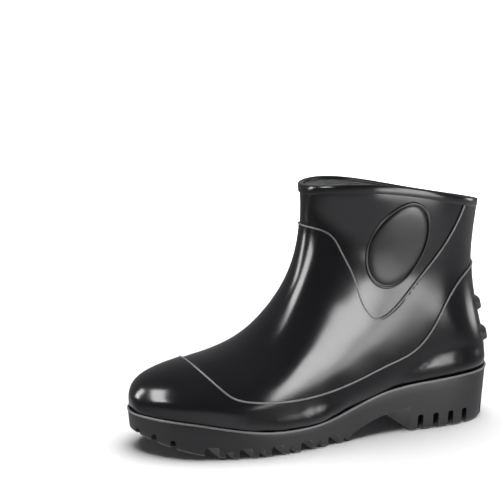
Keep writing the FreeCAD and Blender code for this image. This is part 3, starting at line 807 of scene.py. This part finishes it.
# ------------------------------------------------------------------ footbed
def footbed():
    """Cushioned footbed: its top is slightly dished and rolls down at the edge."""
    inner = FORM - NORMAL * (WALL + 0.3)
    ys = np.linspace(FOOTBED_FRONT, FOOTBED_BACK, 150)
    lateral, medial = [], []
    for y in ys:
        height = floor_height(y) + FOOTBED_LIFT
        near = np.abs(inner[..., 1] - y) + 3 * np.abs(inner[..., 2] - height)
        for side, edge in ((1, lateral), (-1, medial)):
            chosen = np.where(np.sign(np.sin(GRID_A)) == side, near, 1e9)
            index = np.unravel_index(np.argsort(chosen, axis=None)[:6], chosen.shape)
            edge.append(inner[index][:, 0].mean())
    lateral = np.convolve(np.pad(lateral, 2, mode="edge"), np.ones(5) / 5, "valid")
    medial = np.convolve(np.pad(medial, 2, mode="edge"), np.ones(5) / 5, "valid")
    s = np.linspace(-1, 1, 41)
    middle, half = (lateral + medial) / 2, (lateral - medial) / 2 - 0.4
    x = middle[:, None] + half[:, None] * s[None]
    from_end = np.minimum(ys - FOOTBED_FRONT, FOOTBED_BACK - ys)
    edge = np.minimum(half[:, None] * (1 - np.abs(s)), from_end[:, None])
    roll = 1.4 * (1 - np.clip(edge / 2.2, 0, 1)) ** 2
    dish = 1.2 * (1 - np.abs(s[None]) ** 2)
    top = floor_height(ys)[:, None] + FOOTBED_LIFT + 0.4 - roll - dish
    low = np.maximum(floor_height(ys)[:, None] + WALL + 0.4 + 0 * s[None], top - 4.5)
    Y = ys[:, None] + 0 * s[None]
    points = np.vstack([np.stack([x, Y, z], -1).reshape(-1, 3) for z in (top, low)])
    rows, columns = len(ys), len(s)
    upper = grid_faces(rows, columns)
    lower = [[k + rows * columns for k in reversed(f)] for f in upper]
    rim = [k for k in range(columns)] + [i * columns + columns - 1 for i in range(1, rows)]
    rim += [(rows - 1) * columns + j for j in range(columns - 2, -1, -1)]
    rim += [i * columns for i in range(rows - 2, 0, -1)]
    walls = [
        [rim[k], rim[(k + 1) % len(rim)], rim[(k + 1) % len(rim)] + rows * columns, rim[k] + rows * columns]
        for k in range(len(rim))
    ]
    piece = add_piece("footbed", points, upper + lower + walls, "footbed", FOOTBED, 60)


footbed()


# ------------------------------------------------------------------ outsole
def tread_height(y):
    """Height of the tread over the ground: level, then springing up towards the toe."""
    past = np.minimum(y - SPRING_START, 0.0) / (150.0 + SPRING_START)
    return TOE_SPRING * past**2


def sole_block():
    """The outsole before its tread is cut: a wall with a rounded ground edge, a ledge and a closed inside."""
    y = outline[:, 1]
    low, high = tread_height(y), rand_height(y)
    zero = np.zeros(len(y))
    centre = sole_ring(low, zero - 2.4)
    centre[:, 0] *= 0.15
    rings = [centre]
    for angle in np.radians(QUARTER):
        inward = GROUND_ROUND * (1 - math.sin(angle))
        rise = GROUND_ROUND * (1 - math.cos(angle))
        rings.append(sole_ring(low + rise, zero - inward))
    for share in (0.2, 0.4, 0.6, 0.8):
        rings.append(sole_ring(low + 2.0 + (high - low - 4.0) * share, zero))
    for angle in np.radians(QUARTER):
        inward = LEDGE_ROUND * (1 - math.cos(angle))
        drop = LEDGE_ROUND * (1 - math.sin(angle))
        rings.append(sole_ring(high - drop, zero - inward))
    rings.append(sole_ring(high, zero - 3.0))
    rings.append(sole_ring(high - 1.0, zero - 6.5))
    rings.append(sole_ring(np.minimum(high - 2.0, floor_height(y) + 6.0), zero - 9.0))
    bottom = sole_ring(floor_height(y) - 2.4, zero - 14.0)
    rings.append(bottom)
    centre = bottom.copy()
    centre[:, 0] *= 0.1
    rings.append(centre)
    faces = grid_faces(len(rings), OUTLINE_COUNT, close_columns=True)
    faces.append(list(range(OUTLINE_COUNT)))
    faces.append([(len(rings) - 1) * OUTLINE_COUNT + k for k in range(OUTLINE_COUNT)])
    return np.vstack(rings), faces


def prism(outline_points, direction, length):
    """A closed prism: its outline pushed along a direction. Returns points and faces."""
    base = np.asarray(outline_points, float)
    top = base + np.asarray(direction, float) * length
    count = len(base)
    faces = [[k, (k + 1) % count, count + (k + 1) % count, count + k] for k in range(count)]
    faces.append(list(range(count))[::-1])
    faces.append([count + k for k in range(count)])
    return np.vstack([base, top]), faces


def groove_section(width, depth, base):
    """Section of a tread groove, (across, height): straight sides and a rounded roof."""
    half = width / 2
    radius = min(half * 0.75, GROOVE_ROUND)
    points = [(-half * 1.08, base - 10.0), (half * 1.08, base - 10.0)]
    for middle, angles in ((half - radius, QUARTER), (-half + radius, (90, 112, 135, 158, 180))):
        for angle in np.radians(angles):
            rise = base + depth - radius + radius * math.sin(angle)
            points.append((middle + radius * math.cos(angle), rise))
    return points


def half_width(y, side):
    """The wall's X at Y on one side. The toe's middle lies 8 mm to the inner side."""
    half = outline[np.sign(outline[:, 0] + 8.0 * (outline[:, 1] < -100)) == side]
    order = np.argsort(half[:, 1])
    return float(np.interp(y, half[order, 1], half[order, 0]))


def tread_cutters():
    """Every groove and slot of the tread as (points, faces)."""
    cutters = []

    def across(y, width, depth, start, end):
        section = groove_section(width, depth, float(tread_height(y)))
        base = [(start, y + s, z) for s, z in section]
        cutters.append(prism(base, (1, 0, 0), end - start))

    def radial(centre, reach, turn, width, depth):
        angle = math.radians(turn - 90)
        out = np.array([math.cos(angle), math.sin(angle), 0])
        sideways = np.array([-out[1], out[0], 0])
        start = np.array([centre[0], centre[1], 0]) + out * reach
        base_z = float(tread_height(start[1] + out[1] * 10.0))
        base = [start + sideways * s + np.array([0, 0, z]) for s, z in groove_section(width, depth, base_z)]
        cutters.append(prism(base, out, 60.0))

    start, pitch, count, width, depth = WIDE_GROOVES
    for k in range(count):
        y = start + pitch * k
        across(y, width, depth, -PAST_SIDE, PAST_SIDE)
        y += pitch / 2
        for side in (1, -1):
            inner = half_width(y, side) - side * SIDE_SLOT_REACH
            across(y, SIDE_SLOT_WIDTH, SIDE_SLOT_DEPTH, *sorted((inner, side * PAST_SIDE)))
    start, pitch, count, width, depth = HEEL_SLOTS
    for k in range(count):
        y = start + pitch * k
        for side in (1, -1):
            inner = half_width(y, side) - side * HEEL_SLOT_REACH
            across(y, width, depth, *sorted((inner, side * PAST_SIDE)))
    for turn in TOE_SLOT_TURNS:
        radial((-8, -98), 36.0, turn, width, TOE_SLOT_DEPTH)
    for turn in BACK_SLOT_TURNS:
        radial((0, 110), 26.0, turn, width, depth)
    return cutters


def tidy_object(name, points, faces):
    """A mesh object with its faces turned outwards, ready for the boolean."""
    made = new_object(name, points, faces)
    tidy_normals(made.data)
    return made


def outsole():
    """The outsole with its arch and tread cut away."""
    sole = tidy_object("outsole", *sole_block())
    arch = smooth_line(ARCH_LINE[1:], 3.0)
    breast = [(HEEL_BREAST - 1.0, 14.0), (HEEL_BREAST, 0.0), (HEEL_BREAST + 0.5, -12)]
    arch_section = [(12, -12), (12.5, 0.5), *arch, *breast]
    arch_outline = [(-PAST_SIDE, y, z) for y, z in arch_section]
    parts = [prism(arch_outline, (1, 0, 0), 2 * PAST_SIDE), *tread_cutters()]
    tools = [tidy_object(f"tread_tool_{k}", *part) for k, part in enumerate(parts)]
    folder = bpy.data.collections.new("tread_tools")
    for tool in tools:
        folder.objects.link(tool)
        scene.collection.objects.unlink(tool)
    cut = sole.modifiers.new("tread", "BOOLEAN")
    cut.operation = "DIFFERENCE"
    cut.solver = "EXACT"
    cut.operand_type = "COLLECTION"
    cut.collection = folder
    scene.collection.children.link(folder)
    apply_modifiers(sole)
    scene.collection.children.unlink(folder)
    for tool in tools:
        bpy.data.objects.remove(tool)
    finish_piece(sole, "outsole", SATIN, 35)


def welt():
    """The narrow strip along the outer edge of the ledge."""
    height = rand_height(outline[:, 1]) + WELT_LIFT
    path = resample(sole_ring(height, np.full(OUTLINE_COUNT, WELT_GROW)), CORD_STEP, closed=True)
    points, faces = tube(path, WELT_RADIUS, closed=True)
    # the strip's light grey colour is a painted highlight
    add_piece("welt_strip", points, faces, "welt_strip", BEAD_HIGHLIGHT)


outsole()
welt()


# ------------------------------------------------------------------ CAD pieces kept as they are
for node, material in (
    ("heel_core", CORE),
    ("sole_filler", CORE),
    ("toe_stiffener", CORE),
    ("heel_stiffener", CORE),
    ("insole_board", BOARD),
):
    kept = frame["nodes"][node]
    kept.data.materials.clear()
    kept.data.materials.append(material)


# ------------------------------------------------------------------ floor, lights and camera, in metres
FLOOR_REACH, FLOOR_GAP = 40.0, 0.0004
FLOOR_GLOW = 1.2  # the floor's emission far from the boot
GLOW_SPAN = (0.30, 0.9)  # it rises between these distances from the middle of the boot
UNSEEN_GLOW = 0.08  # share of the emission that lights the boot
CAMERA_AZIMUTH, CAMERA_ELEVATION, CAMERA_DISTANCE = 65.2, 14.2, 1.2
CAMERA_TARGET = Vector((0, 0, 0.09))
AIM_LEFT, AIM_UP = 0.1254, 0.1330  # the lens points past the target by these shares of the view's width
LENS, SENSOR_WIDTH = 110.0, 36.0
HORIZON_BLEND = (-0.55, -0.20)  # upward part of the directions between floor and room
FLOOR_REFLECTION, ROOM_REFLECTION = 1.3, 0.24
MATT_SHARE = 0.3  # share of the world's strength that lights matt surfaces
BOOT = Vector((0, 0, 0.07))  # what the softboxes face


def towards(azimuth, elevation, distance):
    """A place that far from the origin. Azimuth 0 is in front of the toe and 90 at +X."""
    a, e = math.radians(azimuth), math.radians(elevation)
    return Vector((math.sin(a) * math.cos(e), -math.cos(a) * math.cos(e), math.sin(e))) * distance


def softbox(name, place, aim, width, height, radiance, roll=0.0):
    """A rectangular light of even radiance, facing its aim and turned about its own axis by roll degrees.

    Only reflections show it.
    """
    light = bpy.data.lights.new(name, "AREA")
    light.shape = "RECTANGLE"
    light.size, light.size_y = width, height
    light.energy = radiance * math.pi * width * height
    lamp = bpy.data.objects.new(name, light)
    lamp.location = place
    lamp.rotation_mode = "QUATERNION"
    facing = (Vector(aim) - Vector(place)).to_track_quat("-Z", "Y")
    lamp.rotation_quaternion = facing @ Quaternion((0, 0, 1), math.radians(roll))
    lamp.visible_camera = False
    lamp.visible_diffuse = False
    scene.collection.objects.link(lamp)
    return lamp


def floor():
    """White paper that the boot shades close to it. Further out it glows to the camera, and so stays white."""
    mesh = bpy.data.meshes.new("floor")
    reach = FLOOR_REACH
    corners = [(-reach, -reach, 0), (reach, -reach, 0), (reach, reach, 0), (-reach, reach, 0)]
    mesh.from_pydata(corners, [], [[0, 1, 2, 3]])
    ground = bpy.data.objects.new("floor", mesh)
    scene.collection.objects.link(ground)
    n = Nodes("floor_paper")
    n.link(n.blend(n.noise(6.0), (0.78, 0.78, 0.78), (0.80, 0.80, 0.80)), n.shader.inputs["Base Color"])
    distance = n.add("ShaderNodeVectorMath", operation="LENGTH")
    n.link(n.position, distance.inputs[0])
    seen = n.add("ShaderNodeLightPath").outputs["Is Camera Ray"]
    glow = n.add("ShaderNodeMath", operation="MULTIPLY")
    n.link(n.remap(distance.outputs["Value"], 0.0, FLOOR_GLOW, *GLOW_SPAN), glow.inputs[0])
    n.link(n.remap(seen, UNSEEN_GLOW, 1.0, 0.0, 1.0), glow.inputs[1])
    n.link(glow.outputs[0], n.shader.inputs["Emission Strength"])
    n.set(Roughness=0.9, Specular_IOR_Level=0.1, Emission_Color=(1, 1, 1, 1))
    mesh.materials.append(n.material)
    ground.location.z = -FLOOR_GAP
    ground.visible_glossy = False


def camera():
    """Long lens on the badge side, a little towards the toe and a little above."""
    azimuth = math.radians(CAMERA_AZIMUTH)
    back = towards(CAMERA_AZIMUTH, CAMERA_ELEVATION, 1.0)
    right = Vector((math.cos(azimuth), math.sin(azimuth), 0))
    up = back.cross(right)
    view_width = SENSOR_WIDTH / LENS * CAMERA_DISTANCE
    data = bpy.data.cameras.new("camera")
    data.lens = LENS
    data.sensor_width = SENSOR_WIDTH
    eye = bpy.data.objects.new("camera", data)
    eye.location = CAMERA_TARGET + back * CAMERA_DISTANCE
    aim = CAMERA_TARGET - right * view_width * AIM_LEFT + up * view_width * AIM_UP
    eye.rotation_mode = "QUATERNION"
    eye.rotation_quaternion = (aim - eye.location).to_track_quat("-Z", "Y")
    scene.collection.objects.link(eye)
    scene.camera = eye


def world():
    """White to the camera. In reflections it is dim, but brighter from below, as the floor would be."""
    made = bpy.data.worlds.new("studio")
    made.use_nodes = True
    tree = made.node_tree
    background = tree.nodes["Background"]
    background.inputs["Color"].default_value = (0.97, 0.97, 1.0, 1)
    white = tree.nodes.new("ShaderNodeBackground")
    white.inputs["Color"].default_value = (1, 1, 1, 1)
    white.inputs["Strength"].default_value = 1.0
    direction = tree.nodes.new("ShaderNodeTexCoord").outputs["Generated"]
    split = tree.nodes.new("ShaderNodeSeparateXYZ")
    tree.links.new(direction, split.inputs[0])
    path = tree.nodes.new("ShaderNodeLightPath")
    strength = tree.nodes.new("ShaderNodeMath")
    strength.operation = "MULTIPLY"
    by_height = map_range(tree, split.outputs["Z"], HORIZON_BLEND, (FLOOR_REFLECTION, ROOM_REFLECTION))
    by_ray = map_range(tree, path.outputs["Is Diffuse Ray"], (0.0, 1.0), (1.0, MATT_SHARE))
    tree.links.new(by_height, strength.inputs[0])
    tree.links.new(by_ray, strength.inputs[1])
    tree.links.new(strength.outputs[0], background.inputs["Strength"])
    mix = tree.nodes.new("ShaderNodeMixShader")
    tree.links.new(path.outputs["Is Camera Ray"], mix.inputs["Fac"])
    tree.links.new(background.outputs[0], mix.inputs[1])
    tree.links.new(white.outputs[0], mix.inputs[2])
    tree.links.new(mix.outputs[0], tree.nodes["World Output"].inputs["Surface"])
    scene.world = made


def lights():
    """Softboxes that only the gloss sees, and one broad light from above that only matt shading sees."""
    stand = towards(117, 0, 0.85) + Vector((0, 0, 0.17))
    panel_at = towards(113, 0, 0.60)
    above_panel = panel_at + Vector((0, 0, 1))
    # on the badge side a narrow light lies over each wide one, so that the reflection fades at its sides
    for k, share in enumerate((1.0, 0.55)):
        softbox(f"side_softbox_{k}", stand, BOOT + Vector((0, 0, 0.03)), 0.44 * share, 0.30, 19.0)
        softbox(f"floor_panel_{k}", panel_at, above_panel, 0.32 * share, 0.50, 13.0)
    softbox("toe_softbox", BOOT + towards(0, 28, 1.3), BOOT, 0.42, 0.95, 20.0, 35.0)
    softbox("instep_strip", BOOT + towards(-34, 14, 1.2), BOOT, 0.24, 0.50, 16.0)
    softbox("heel_glow", towards(180, 0, 0.9) + Vector((0, 0, 0.1)), BOOT, 0.25, 0.2, 8.0)
    top_fill = softbox("top_fill", (-0.05, 0.15, 1.3), (0, 0.02, 0), 1.5, 1.5, 5.4)
    top_fill.visible_glossy = False
    top_fill.visible_diffuse = True


camera()
floor()
world()
scene.view_settings.view_transform = "Standard"
lights()
